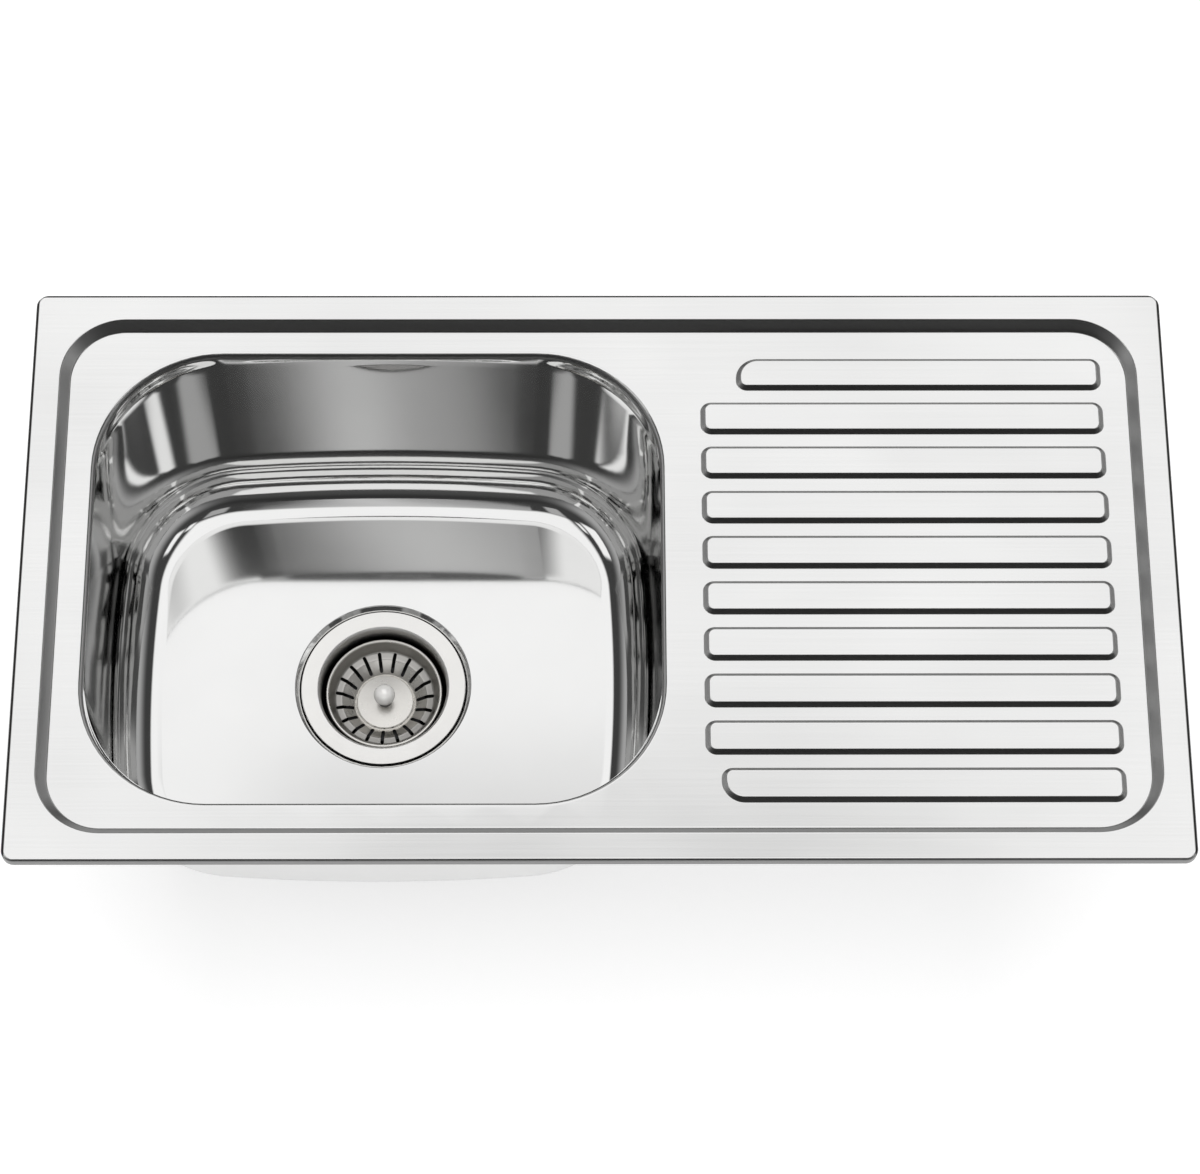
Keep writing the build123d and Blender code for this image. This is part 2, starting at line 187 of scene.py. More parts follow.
# Painted shade and painted light in the tone, by place or by the turn of a face. A pair is the range over
# which a shade sets in, a share is the part of the tone that is left, and a duller value is added to the
# roughness.
# Painted shade deep inside the waste cup, and its duller finish
CUP_FACING = (-0.006, -0.001)
CUP_PALE_DROP = 6.0
CUP_DARK_DROP = 17.0
CUP_DARK_SHARE = 0.05
CUP_DULLER = 0.30
# Outside of the bowl: unpolished, darker and duller, with painted light that keeps the front side pale
BOWL_FACING = (-0.005, 0.005)
OUTSIDE_FRONT = (-0.95, -0.60)
OUTSIDE_FRONT_SHARE = 0.92
OUTSIDE_SHARE = 0.45
OUTSIDE_DULLER = 0.30
# Painted shade on the deck's steep faces, and their duller finish
STEEP_TURN = (0.70, 0.95)
LENGTHWISE_TURN = (0.3, 0.6)
SIDE_SHARE = 0.62
FRONT_SHARE = 0.25
STEEP_DULLER = 0.22
# Painted dark line of shade along the rim's outer edge at the back and the ends
EDGE_LINE_START = 2.5
EDGE_LINE_FULL = 1.7
EDGE_LINE_SHARE = 0.08
# Painted shade on the knob's neck and foot under the ball, and their duller finish
KNOB_NECK_SHARE = 0.92
KNOB_NECK_TONE = 0.12
KNOB_DULLER = 0.20
# Painted shade on the basket's wall and ledge, and their duller finish
BASKET_WALL_SHARE = 0.60
BASKET_DULLER = 0.10

# Grain and clouds of the surfaces: noise detail, the grain's share in the pattern, the parts of the pattern
# over which tone and gloss change, the gloss as shares of the roughness, and waves per metre
GRAIN_DETAIL = 4.0
CLOUD_DETAIL = 2.0
GRAIN_SHARE = 0.3
TONE_SPREAD = (0.3, 0.7)
GLOSS_SPREAD = (0.25, 0.75)
GLOSS_RANGE = (0.8, 1.2)
EVEN = (400, 400, 400)
BROAD = (7, 9, 9)
CLOSE = (60, 60, 60)

# Light panels on the studio's ceiling plane: place and half size to the right and back for each
# metre of height, then softness of the edge and level
PANELS = [(0.0, 1.85, 0.42, 2.15, 0.12, 1.0),
          (-0.068, -0.50, 0.0237, 0.24, 0.016, 0.38),
          (-0.056, -0.50, 0.013, 0.24, 0.03, 0.70),
          (0.26, -0.49, 0.12, 0.12, 0.06, 0.40),
          (-0.325, -0.46, 0.09, 0.14, 0.06, 0.42),
          (0.495, -0.28, 0.055, 0.07, 0.05, 0.95),
          (0.70, -0.12, 0.10, 0.18, 0.08, 1.0),
          (-0.53, -0.19, 0.04, 0.09, 0.05, 0.95),
          (-0.80, -0.10, 0.18, 0.25, 0.08, 1.0)]

# Dimmer patch in the large panel, in the same terms, which greys the middle of the front rim
DIMMED = (0.01, 0.34, 0.10, 0.04, 0.05, 0.24)

# Rest of the studio, by the direction's height or depth: levels, and the ranges over which they change
CEILING_LEVEL = 0.05
WALL_LEVEL = 0.34
WALL_TOP = (0.50, 0.75)
FRONT_SHADE = 0.80
FRONT_TURN = (-0.85, -0.50)
HORIZON = (0.04, 0.08)
LEAST_HEIGHT = 0.05

# Floor and lamp, in metres and watts
FLOOR_REACH = 30.0
FLOOR_GAP = 0.002
FLOOR_GLOW = 0.70
FLOOR_TONE = 0.5
FLOOR_ROUGH = 0.9
LAMP_HEIGHT = 3.0
LAMP_SIZE = 3.5
LAMP_POWER = 85.0

# Levels and places worked out from the sizes above and from the frame
sink_low, sink_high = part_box("deck_panel")
half_length = (sink_high.x - sink_low.x) / 2 / MM
half_width = (sink_high.y - sink_low.y) / 2 / MM
deck_z = RIM_HEIGHT - STEP_DROP
collar_z = deck_z - COLLAR_DROP
floor_z = deck_z - BOWL_DEPTH
cup_low, cup_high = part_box("strainer_cup")
waste = Vector(((cup_low.x + cup_high.x) / 2, (cup_low.y + cup_high.y) / 2, 0)) / MM
flange_z = cup_high.z / MM
neck_end_z = cup_low.z / MM
dome_z = flange_z - BASKET_FLOOR_DROP + BASKET_DOME_RISE


def rounded_profile(points, bends):
    """Corner points of an open line, with each inner corner replaced by an arc of its bend."""
    line = [Vector(p) for p in points]
    out = [line[0]]
    for before, corner, after, bend in zip(line, line[1:], line[2:], bends):
        a = (before - corner).normalized()
        b = (after - corner).normalized()
        half = math.acos(max(-1.0, min(1.0, a.dot(b)))) / 2
        if bend == 0:
            out.append(corner)
            continue
        reach = bend / math.tan(half)
        centre = corner + (a + b).normalized() * bend / math.sin(half)
        start = corner + a * reach - centre
        turn = math.pi - 2 * half
        sign = 1 if a.x * b.y - a.y * b.x < 0 else -1
        for i in range(BEND_STEPS + 1):
            angle = sign * turn * i / BEND_STEPS
            c, s = math.cos(angle), math.sin(angle)
            out.append(centre + Vector((c * start.x - s * start.y, s * start.x + c * start.y)))
    out.append(line[-1])
    return out


def outline(left, right, front, back, corners):
    """Points and outward normals round a rectangle with a radius for each corner, from front left."""
    front_left, front_right, back_right, back_left = corners
    centres = [(left + front_left, front + front_left, front_left, 180),
               (right - front_right, front + front_right, front_right, 270),
               (right - back_right, back - back_right, back_right, 0),
               (left + back_left, back - back_left, back_left, 90)]
    ring = []
    for index, (x, y, radius, start) in enumerate(centres):
        for i in range(CORNER_STEPS + 1):
            angle = math.radians(start + 90 * i / CORNER_STEPS)
            normal = Vector((math.cos(angle), math.sin(angle)))
            ring.append((Vector((x, y)) + normal * radius, normal))
        next_x, next_y, next_radius, next_start = centres[(index + 1) % 4]
        normal = ring[-1][1]
        begin = ring[-1][0]
        angle = math.radians(next_start)
        end = Vector((next_x, next_y)) + Vector((math.cos(angle), math.sin(angle))) * next_radius
        for i in range(1, SIDE_STEPS):
            ring.append((begin.lerp(end, i / SIDE_STEPS), normal))
    return ring


def bowed_outline(left, right, front, back, corner, bow):
    """The same points for equal corners, but with each side bowed out by an angle at its ends."""
    arc = corner / math.sqrt(2) / math.sin(math.pi / 4 - bow)
    draw_in = corner / math.sqrt(2) - arc * math.cos(math.pi / 4 - bow)
    centres = [(left + corner, front + corner, 180), (right - corner, front + corner, 270),
               (right - corner, back - corner, 0), (left + corner, back - corner, 90)]
    ring = []
    for index, (x, y, start) in enumerate(centres):
        middle = math.radians(start + 45)
        centre = Vector((x, y)) + Vector((math.cos(middle), math.sin(middle))) * draw_in
        for i in range(CORNER_STEPS + 1):
            angle = math.radians(start) + bow + (math.pi / 2 - 2 * bow) * i / CORNER_STEPS
            normal = Vector((math.cos(angle), math.sin(angle)))
            ring.append((centre + normal * arc, normal))
        next_x, next_y, next_start = centres[(index + 1) % 4]
        turn = math.radians(next_start)
        begin = Vector((x, y)) + Vector((math.cos(turn), math.sin(turn))) * corner
        end = Vector((next_x, next_y)) + Vector((math.cos(turn), math.sin(turn))) * corner
        reach = (end - begin).length / 2 / math.sin(bow)
        centre = (begin + end) / 2 - Vector((math.cos(turn), math.sin(turn))) * reach * math.cos(bow)
        for i in range(1, SIDE_STEPS):
            angle = turn - bow + 2 * bow * i / SIDE_STEPS
            normal = Vector((math.cos(angle), math.sin(angle)))
            ring.append((centre + normal * reach, normal))
    return ring


def rectangle(inset, corner):
    """Outline of the whole sink, moved in by an inset."""
    return outline(-half_length + inset, half_length - inset, -half_width + inset, half_width - inset,
                   [corner] * 4)


def add_ring(bm, points, z):
    """Closed row of vertices at one height."""
    return [bm.verts.new((p.x * MM, p.y * MM, z * MM)) for p in points]


def bridge(bm, low, high):
    """Band of faces between two rows with the same number of vertices."""
    count = len(low)
    for i in range(count):
        j = (i + 1) % count
        bm.faces.new((low[i], low[j], high[j], high[i]))


def bridge_all(bm, rows):
    """Bands of faces between each row and the next."""
    for low, high in zip(rows, rows[1:]):
        bridge(bm, low, high)


def offset_rows(bm, base, profile):
    """Rows of a swept profile, whose first value moves the outline in and second is the height."""
    rows = []
    for inset, z in profile:
        rows.append(add_ring(bm, [point - normal * inset for point, normal in base], z))
    bridge_all(bm, rows)
    return rows


def ring_edges(bm, ring):
    """Edges of a closed row of vertices, made where they don't exist yet."""
    edges = []
    for i, vert in enumerate(ring):
        other = ring[(i + 1) % len(ring)]
        edges.append(bm.edges.get((vert, other)) or bm.edges.new((vert, other)))
    return edges


def smooth(piece):
    """Smooth shading that keeps flats flat and edges sharp."""
    piece.data.polygons.foreach_set("use_smooth", [True] * len(piece.data.polygons))
    piece.data.set_sharp_from_angle(angle=SHARP_ANGLE)
    normals = piece.modifiers.new("normals", "WEIGHTED_NORMAL")
    normals.keep_sharp = True
    normals.weight = NORMAL_WEIGHT


def finish_mesh(name, bm, body, replaced, thickness=0):
    """Mesh object from a bmesh, riding on its body in place of a node; an open sheet is thickened down."""
    bmesh.ops.recalc_face_normals(bm, faces=bm.faces)
    if thickness and sum(f.normal.z * f.calc_area() for f in bm.faces) < 0:
        bmesh.ops.reverse_faces(bm, faces=bm.faces)
    mesh = bpy.data.meshes.new(name)
    bm.to_mesh(mesh)
    bm.free()
    piece = bpy.data.objects.new(name, mesh)
    bpy.context.scene.collection.objects.link(piece)
    if thickness:
        solid = piece.modifiers.new("thickness", "SOLIDIFY")
        solid.thickness = thickness * MM
        solid.offset = -1
        solid.use_even_offset = True
        graph = bpy.context.evaluated_depsgraph_get()
        thick = bpy.data.meshes.new_from_object(piece.evaluated_get(graph))
        piece.modifiers.clear()
        piece.data = thick
        bpy.data.meshes.remove(mesh)
    piece.data.name = name
    smooth(piece)
    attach(piece, body)
    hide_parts(replaced)
    return piece


def rib_outline(index):
    """Foot outline of one drainer rib; the end ribs are cut back and rounder."""
    y = RIB_ROW_CENTRE + ((RIB_COUNT - 1) / 2 - index) * RIB_PITCH
    left = RIB_LEFT
    corners = [RIB_CORNER] * 4
    if index == 0:
        left += RIB_BACK_INDENT
        corners[3] = RIB_OUTER_CORNER
    if index == RIB_COUNT - 1:
        left += RIB_FRONT_INDENT
        corners[0] = RIB_OUTER_CORNER
    return outline(left, RIB_RIGHT, y - RIB_WIDTH / 2, y + RIB_WIDTH / 2, corners)


def make_deck():
    """Rim, step and deck with the drainer ribs and the rolled edge of the bowl opening."""
    bm = bmesh.new()
    lip = rounded_profile([(0, 0), (0, RIM_HEIGHT), (RIM_BORDER / 2, RIM_HEIGHT)], [EDGE_BEND])
    lip_rows = offset_rows(bm, rectangle(0, OUTLINE_CORNER), lip[:-1])
    step = rounded_profile(
        [(-STEP_RUN, RIM_HEIGHT), (0, RIM_HEIGHT), (STEP_RUN, deck_z), (2 * STEP_RUN, deck_z)],
        [STEP_TOP_BEND, STEP_FOOT_BEND])
    step_rows = offset_rows(bm, rectangle(RIM_BORDER, STEP_CORNER), step[1:-1])
    bridge(bm, lip_rows[-1], step_rows[0])
    roll = rounded_profile(
        [(-OPENING_ROLL, deck_z), (OPENING_ROLL, deck_z), (OPENING_ROLL, collar_z)], [OPENING_ROLL])
    opening = outline(OPENING_LEFT, OPENING_RIGHT, -OPENING_WIDTH / 2, OPENING_WIDTH / 2,
                      [OPENING_CORNER] * 4)
    opening_rows = offset_rows(bm, opening, roll[1:])
    rib_top = deck_z + RIB_RISE
    rib = rounded_profile(
        [(-RIB_RUN, deck_z), (0, deck_z), (RIB_RUN, rib_top), (2 * RIB_RUN, rib_top)],
        [RIB_FOOT_BEND, RIB_TOP_BEND])
    edges = ring_edges(bm, step_rows[-1]) + ring_edges(bm, opening_rows[0])
    for index in range(RIB_COUNT):
        rows = offset_rows(bm, rib_outline(index), rib[1:-1])
        bm.faces.new(rows[-1])
        edges += ring_edges(bm, rows[0])
    bmesh.ops.triangle_fill(bm, edges=edges, use_beauty=True, normal=(0, 0, 1))
    return finish_mesh("deck_sheet", bm, "sink", "deck_panel", SHEET)


def make_bowl():
    """Drawn bowl: bowed sloping walls, a round bend into the floor, and the seat of the waste."""
    bm = bmesh.new()
    wall_left = OPENING_LEFT + OPENING_ROLL
    wall_right = OPENING_RIGHT - OPENING_ROLL
    wall_half = OPENING_WIDTH / 2 - OPENING_ROLL
    corner = OPENING_CORNER - OPENING_ROLL
    collar = outline(wall_left, wall_right, -wall_half, wall_half, [corner] * 4)
    top = bowed_outline(wall_left, wall_right, -wall_half, wall_half, corner, BOWL_BOW)
    end_bow = ((wall_right - wall_left) / 2 - BOWL_FLOOR_CORNER) * math.tan(BOWL_BOW / 2)
    floor_half = wall_half - BOWL_RUN_SIDE - end_bow
    foot = bowed_outline(wall_left + BOWL_RUN_LEFT, wall_right - BOWL_RUN_RIGHT, -floor_half, floor_half,
                         BOWL_FLOOR_CORNER, BOWL_BOW)
    height = collar_z - floor_z
    drafts = [math.atan((t - f).dot(n) / height) for (t, _), (f, n) in zip(top, foot)]
    rows = []
    for step in range(FLOOR_BEND_STEPS + 1):
        row = []
        for (point, normal), draft in zip(foot, drafts):
            angle = draft + (math.pi / 2 - draft) * step / FLOOR_BEND_STEPS
            reach = BOWL_FLOOR_BEND * math.tan((math.pi / 2 - draft) / 2)
            place = point - normal * (reach - BOWL_FLOOR_BEND * math.cos(angle))
            z = floor_z + BOWL_FLOOR_BEND * (1 - math.sin(angle))
            row.append(bm.verts.new((place.x * MM, place.y * MM, z * MM)))
        rows.append(row)
    start = [vert.co.copy() for vert in rows[0]]
    high = [Vector((p.x * MM, p.y * MM, collar_z * MM)) for p, _ in top]
    edge = [Vector((p.x * MM, p.y * MM, collar_z * MM)) for p, _ in collar]
    walls = []
    for share, bowed in WALL_ROWS:
        row = []
        for e, h, s in zip(edge, high, start):
            place = h.lerp(s, share)
            place.xy += (e.xy - h.xy) * (1 - bowed)
            row.append(bm.verts.new(place))
        walls.append(row)
    rows = walls + rows
    bridge_all(bm, rows)
    seat = rounded_profile(
        [(-SEAT_DEPTH, floor_z), (0, floor_z), (SEAT_TOP_RADIUS - SEAT_RADIUS, floor_z - SEAT_DEPTH),
         (SEAT_TOP_RADIUS - WASTE_HOLE_RADIUS, floor_z - SEAT_DEPTH)], [SEAT_BEND, SEAT_BEND / 2])
    circle = []
    for vert in rows[-1]:
        normal = (vert.co.xy / MM - waste.xy).normalized()
        circle.append((waste.xy + normal * SEAT_TOP_RADIUS, normal))
    seat_rows = offset_rows(bm, circle, seat[1:])
    bridge(bm, rows[-1], seat_rows[0])
    return finish_mesh("bowl_sheet", bm, "sink", "bowl", SHEET)


def revolved(bm, profile):
    """Rows and faces of a profile of radius and height turned round the waste's axis."""
    rows = []
    for radius, z in profile:
        ring = []
        for i in range(ROUND_STEPS):
            angle = 2 * math.pi * i / ROUND_STEPS
            ring.append(waste.xy + Vector((math.cos(angle), math.sin(angle))) * radius)
        rows.append(add_ring(bm, ring, z))
    bridge_all(bm, rows)
    return rows


def make_cup():
    """Flange, cup and neck of the waste, in one closed turned section with a threaded neck."""
    bm = bmesh.new()
    cone_radius = CUP_RADIUS - CUP_TAPER_RUN
    cone_z = flange_z - CUP_WALL_DEPTH
    neck_z = cone_z - CUP_CONE_DROP
    inside = rounded_profile(
        [(FLANGE_RADIUS, flange_z - SHEET / 2), (FLANGE_RADIUS, flange_z), (CUP_RADIUS, flange_z),
         (cone_radius, cone_z), (NECK_BORE_RADIUS, neck_z), (NECK_BORE_RADIUS, neck_end_z)],
        [FLANGE_EDGE_BEND, MOUTH_ROLL, CUP_BEND, 0])
    outside = rounded_profile(
        [(FLANGE_RADIUS, flange_z - SHEET), (CUP_RADIUS + SHEET, flange_z - SHEET),
         (cone_radius + SHEET, cone_z - SHEET / 2), (NECK_OUTER_RADIUS, neck_z - SHEET / 4)],
        [MOUTH_ROLL - SHEET, CUP_BEND + SHEET])
    thread = []
    turns = int((NECK_LENGTH - 2 * THREAD_PITCH) / THREAD_PITCH)
    for turn in range(turns):
        z = neck_z - THREAD_PITCH * (turn + 1)
        thread.append((NECK_OUTER_RADIUS - THREAD_DEPTH, z))
        thread.append((NECK_OUTER_RADIUS, z - THREAD_PITCH / 2))
    profile = list(inside) + [Vector((NECK_OUTER_RADIUS, neck_end_z))]
    profile += [Vector(p) for p in reversed(thread)] + list(reversed(outside))
    rows = revolved(bm, profile)
    bridge(bm, rows[-1], rows[0])
    return finish_mesh("waste_cup", bm, "sink", "strainer_cup")


def slot_angle(radius):
    """Half the angle that a basket slot takes up at a radius: round at its ends, and none past them."""
    half = SLOT_WIDTH / 2
    past = max(SLOT_INNER_RADIUS + half - radius, radius - SLOT_OUTER_RADIUS + half, 0)
    return math.asin(math.sqrt(max(half * half - past * past, 0)) / radius)


def cut_at(line, radii):
    """The same line with extra points where it passes the radii."""
    out = [line[0]]
    for a, b in zip(line, line[1:]):
        between = sorted((r for r in radii if min(a.x, b.x) < r < max(a.x, b.x)), reverse=a.x > b.x)
        out += [a.lerp(b, (r - a.x) / (b.x - a.x)) for r in between]
        out.append(b)
    return out


def make_basket():
    """Strainer basket in one thin sheet: folded rim, wall, slotted cone and domed floor."""
    bm = bmesh.new()
    rim_z = flange_z - BASKET_RIM_DROP
    line = rounded_profile(
        [(BASKET_RIM_RADIUS, rim_z - BASKET_RIM_SKIRT), (BASKET_RIM_RADIUS, rim_z),
         (BASKET_RIM_RADIUS - BASKET_RIM_WIDTH, rim_z),
         (BASKET_SHOULDER_RADIUS, flange_z - BASKET_SHOULDER_DROP),
         (BASKET_LEDGE_RADIUS, flange_z - BASKET_LEDGE_DROP),
         (BASKET_CONE_RADIUS, flange_z - BASKET_CONE_DROP),
         (BASKET_FLOOR_RADIUS, flange_z - BASKET_FLOOR_DROP), (BASKET_BORE, dome_z)], BASKET_BENDS)
    radii = []
    for i in range(SLOT_END_STEPS + 1):
        inward = SLOT_WIDTH / 2 * (1 - math.cos(math.pi / 2 * i / SLOT_END_STEPS))
        radii += [SLOT_INNER_RADIUS + inward, SLOT_OUTER_RADIUS - inward]
    pitch = 2 * math.pi / SLOT_COUNT
    rows = []
    for radius, z in cut_at(line, radii):
        gap = slot_angle(radius)
        row = []
        for slot in range(SLOT_COUNT):
            start = math.radians(SLOT_FIRST_ANGLE) + slot * pitch + gap
            for i in range(LAND_STEPS + 1):
                angle = start + (pitch - 2 * gap) * i / LAND_STEPS
                x = waste.x + radius * math.cos(angle)
                y = waste.y + radius * math.sin(angle)
                row.append(bm.verts.new((x * MM, y * MM, z * MM)))
        rows.append(row)
    for low, high in zip(rows, rows[1:]):
        for i in range(len(low) - 1):
            if (i + 1) % (LAND_STEPS + 1):
                bm.faces.new((low[i], low[i + 1], high[i + 1], high[i]))
    bmesh.ops.remove_doubles(bm, verts=bm.verts, dist=SLOT_WELD * MM)
    return finish_mesh("strainer_basket", bm, "basket_set", "basket", BASKET_SHEET)


def make_knob():
    """Ball knob on its neck and collar, turned in one section."""
    bm = bmesh.new()
    centre_z = dome_z + KNOB_HEIGHT
    neck_angle = math.acos(KNOB_NECK_RADIUS / KNOB_RADIUS)
    profile = []
    for i in range(1, BALL_STEPS + 1):
        angle = math.pi / 2 - (math.pi / 2 + neck_angle) * i / BALL_STEPS
        profile.append(Vector((KNOB_RADIUS * math.cos(angle), centre_z + KNOB_RADIUS * math.sin(angle))))
    collar_top = dome_z + KNOB_COLLAR_HEIGHT
    profile += rounded_profile(
        [profile[-1], (KNOB_NECK_RADIUS, collar_top), (KNOB_COLLAR_RADIUS, collar_top),
         (KNOB_COLLAR_RADIUS, dome_z)], [KNOB_BEND, KNOB_BEND])[1:]
    rows = revolved(bm, profile)
    bm.faces.new(rows[0])
    bm.faces.new(rows[-1])
    return finish_mesh("ball_knob", bm, "basket_set", "knob")


def node_value(tree, operation, first, second):
    """Math node on two inputs, each a number or another node's output."""
    node = tree.nodes.new("ShaderNodeMath")
    node.operation = operation
    for socket, value in zip(node.inputs, (first, second)):
        if isinstance(value, (int, float)):
            socket.default_value = value
        else:
            tree.links.new(value, socket)
    return node.outputs["Value"]


def node_range(tree, value, low, high, to_low, to_high):
    """Smooth step of a value between two limits."""
    node = tree.nodes.new("ShaderNodeMapRange")
    node.interpolation_type = "SMOOTHSTEP"
    for name, number in (("From Min", low), ("From Max", high), ("To Min", to_low), ("To Max", to_high)):
        node.inputs[name].default_value = number
    tree.links.new(value, node.inputs["Value"])
    return node.outputs["Result"]


def node_vector(tree, operation, first, second):
    """Outputs of a vector math node on an output and on either another output or fixed numbers."""
    node = tree.nodes.new("ShaderNodeVectorMath")
    node.operation = operation
    tree.links.new(first, node.inputs[0])
    if isinstance(second, tuple):
        node.inputs[1].default_value = second
    else:
        tree.links.new(second, node.inputs[1])
    return node.outputs


def node_axes(tree, vector):
    """X, Y and Z of a vector."""
    node = tree.nodes.new("ShaderNodeSeparateXYZ")
    tree.links.new(vector, node.inputs["Vector"])
    return node.outputs


def node_normal(tree):
    """Direction of the face in the piece's own frame."""
    return tree.nodes.new("ShaderNodeTexCoord").outputs["Normal"]


def noise(tree, place, scale, detail):
    """Noise stretched by a scale for each axis, in waves per metre."""
    stretch = tree.nodes.new("ShaderNodeMapping")
    stretch.inputs["Scale"].default_value = scale
    tree.links.new(place, stretch.inputs["Vector"])
    node = tree.nodes.new("ShaderNodeTexNoise")
    node.inputs["Scale"].default_value = 1.0
    node.inputs["Detail"].default_value = detail
    tree.links.new(stretch.outputs["Vector"], node.inputs["Vector"])
    return node.outputs["Fac"]


def shaded(tree, dark, where, duller):
    """Share of the tone that a painted shade leaves, and what is added to the roughness where the shade
    lies.
    """
    return node_value(tree, "SUBTRACT", 1.0, dark), node_value(tree, "MULTIPLY", where, duller)


def cup_painted_shade(tree, place):
    """Inside of the waste: painted shade that darkens it deep down, and duller all over."""
    arm = node_vector(tree, "SUBTRACT", place, (waste.x * MM, waste.y * MM, 0))["Vector"]
    level = node_vector(tree, "MULTIPLY", arm, (1, 1, 0))["Vector"]
    facing = node_vector(tree, "DOT_PRODUCT", level, node_normal(tree))["Value"]
    inside = node_range(tree, facing, *CUP_FACING, 1.0, 0.0)
    depth = node_range(tree, node_axes(tree, place)["Z"], (flange_z - CUP_DARK_DROP) * MM,
                       (flange_z - CUP_PALE_DROP) * MM, 1 - CUP_DARK_SHARE, 0.0)
    return shaded(tree, node_value(tree, "MULTIPLY", inside, depth), inside, CUP_DULLER)


def bowl_dull_outside_painted_light(tree, place):
    """Outside of the bowl, unpolished: darker and duller, and least dark at the front, where painted light
    keeps it pale.
    """
    middle = ((OPENING_LEFT + OPENING_RIGHT) / 2 * MM, 0, (collar_z + floor_z) / 2 * MM)
    normal = node_normal(tree)
    arm = node_vector(tree, "SUBTRACT", place, middle)["Vector"]
    facing = node_vector(tree, "DOT_PRODUCT", arm, normal)["Value"]
    outside = node_range(tree, facing, *BOWL_FACING, 0.0, 1.0)
    depth = node_range(tree, node_axes(tree, normal)["Y"], *OUTSIDE_FRONT, 1 - OUTSIDE_FRONT_SHARE,
                       1 - OUTSIDE_SHARE)
    return shaded(tree, node_value(tree, "MULTIPLY", outside, depth), outside, OUTSIDE_DULLER)


def steep_painted_shade(tree, place):
    """Steep faces of the pressed deck: painted shade, darkest on faces turned to the front or back, and a
    duller finish; and a painted dark line of shade along its outer edge at the back and the ends.
    """
    turn = node_axes(tree, node_normal(tree))
    steep = node_range(tree, turn["Z"], *STEEP_TURN, 1.0, 0.0)
    lengthwise = node_value(tree, "ABSOLUTE", turn["Y"], 0.0)
    depth = node_range(tree, lengthwise, *LENGTHWISE_TURN, 1 - SIDE_SHARE, 1 - FRONT_SHARE)
    dark = node_value(tree, "MULTIPLY", steep, depth)
    spot = node_axes(tree, place)
    ends = node_value(tree, "ABSOLUTE", spot["X"], 0.0)
    for value, half in ((ends, half_length), (spot["Y"], half_width)):
        line = node_range(tree, value, (half - EDGE_LINE_START) * MM, (half - EDGE_LINE_FULL) * MM, 0.0,
                          1 - EDGE_LINE_SHARE)
        dark = node_value(tree, "MAXIMUM", dark, line)
    return shaded(tree, dark, steep, STEEP_DULLER)


def basket_painted_shade(tree, place):
    """Wall and ledge of the basket: a little painted shade, and duller."""
    z = node_axes(tree, place)["Z"]
    ledge_z = flange_z - BASKET_LEDGE_DROP
    rim_z = flange_z - BASKET_RIM_DROP
    above = node_range(tree, z, (ledge_z - BASKET_SHEET / 2) * MM, (ledge_z + BASKET_SHEET / 2) * MM,
                       0.0, 1.0)
    below = node_range(tree, z, (rim_z - 2 * BASKET_SHEET) * MM, (rim_z - BASKET_SHEET) * MM,
                       1 - BASKET_WALL_SHARE, 0.0)
    dark = node_value(tree, "MULTIPLY", above, below)
    return shaded(tree, dark, dark, BASKET_DULLER)


def knob_painted_shade(tree, place):
    """Neck and foot of the knob: painted shade under its ball, and duller than it."""
    neck_z = (dome_z + KNOB_HEIGHT - KNOB_RADIUS * KNOB_NECK_SHARE) * MM
    dark = node_range(tree, node_axes(tree, place)["Z"], neck_z - KNOB_BEND * MM, neck_z,
                      1 - KNOB_NECK_TONE, 0.0)
    return shaded(tree, dark, dark, KNOB_DULLER)


def material(name, tone, rough, metallic, grain_scale, grain_depth, cloud_scale, tone_range, shade=None):
    """Surface with fine grain in its bump and gloss, soft clouds in its tone, and any painted shade or
    painted light of its shade function.
    """
    surface = bpy.data.materials.new(name)
    surface.use_nodes = True
    tree = surface.node_tree
    shader = tree.nodes["Principled BSDF"]
    shader.inputs["Metallic"].default_value = metallic
    place = tree.nodes.new("ShaderNodeTexCoord").outputs["Object"]
    grain = noise(tree, place, grain_scale, GRAIN_DETAIL)
    clouds = noise(tree, place, cloud_scale, CLOUD_DETAIL)
    mixed = node_value(tree, "ADD", node_value(tree, "MULTIPLY", grain, GRAIN_SHARE),
                       node_value(tree, "MULTIPLY", clouds, 1 - GRAIN_SHARE))
    colour = tree.nodes.new("ShaderNodeValToRGB")
    dark, pale = colour.color_ramp.elements
    dark.position, pale.position = TONE_SPREAD
    dark.color = [c * (1 - tone_range) for c in tone] + [1]
    pale.color = list(tone) + [1]
    tree.links.new(mixed, colour.inputs["Fac"])
    tinted = colour.outputs["Color"]
    gloss = node_range(tree, mixed, *GLOSS_SPREAD, *(rough * share for share in GLOSS_RANGE))
    # Painted shade, and on the bowl painted light, scales the tone here
    if shade:
        share, duller = shade(tree, place)
        scaled = tree.nodes.new("ShaderNodeVectorMath")
        scaled.operation = "SCALE"
        tree.links.new(tinted, scaled.inputs[0])
        tree.links.new(share, scaled.inputs["Scale"])
        tinted = scaled.outputs["Vector"]
        gloss = node_value(tree, "ADD", gloss, duller)
    tree.links.new(tinted, shader.inputs["Base Color"])
    tree.links.new(gloss, shader.inputs["Roughness"])
    bump = tree.nodes.new("ShaderNodeBump")
    bump.inputs["Strength"].default_value = 1.0
    bump.inputs["Distance"].default_value = grain_depth * MM
    tree.links.new(grain, bump.inputs["Height"])
    tree.links.new(bump.outputs["Normal"], shader.inputs["Normal"])
    return surface
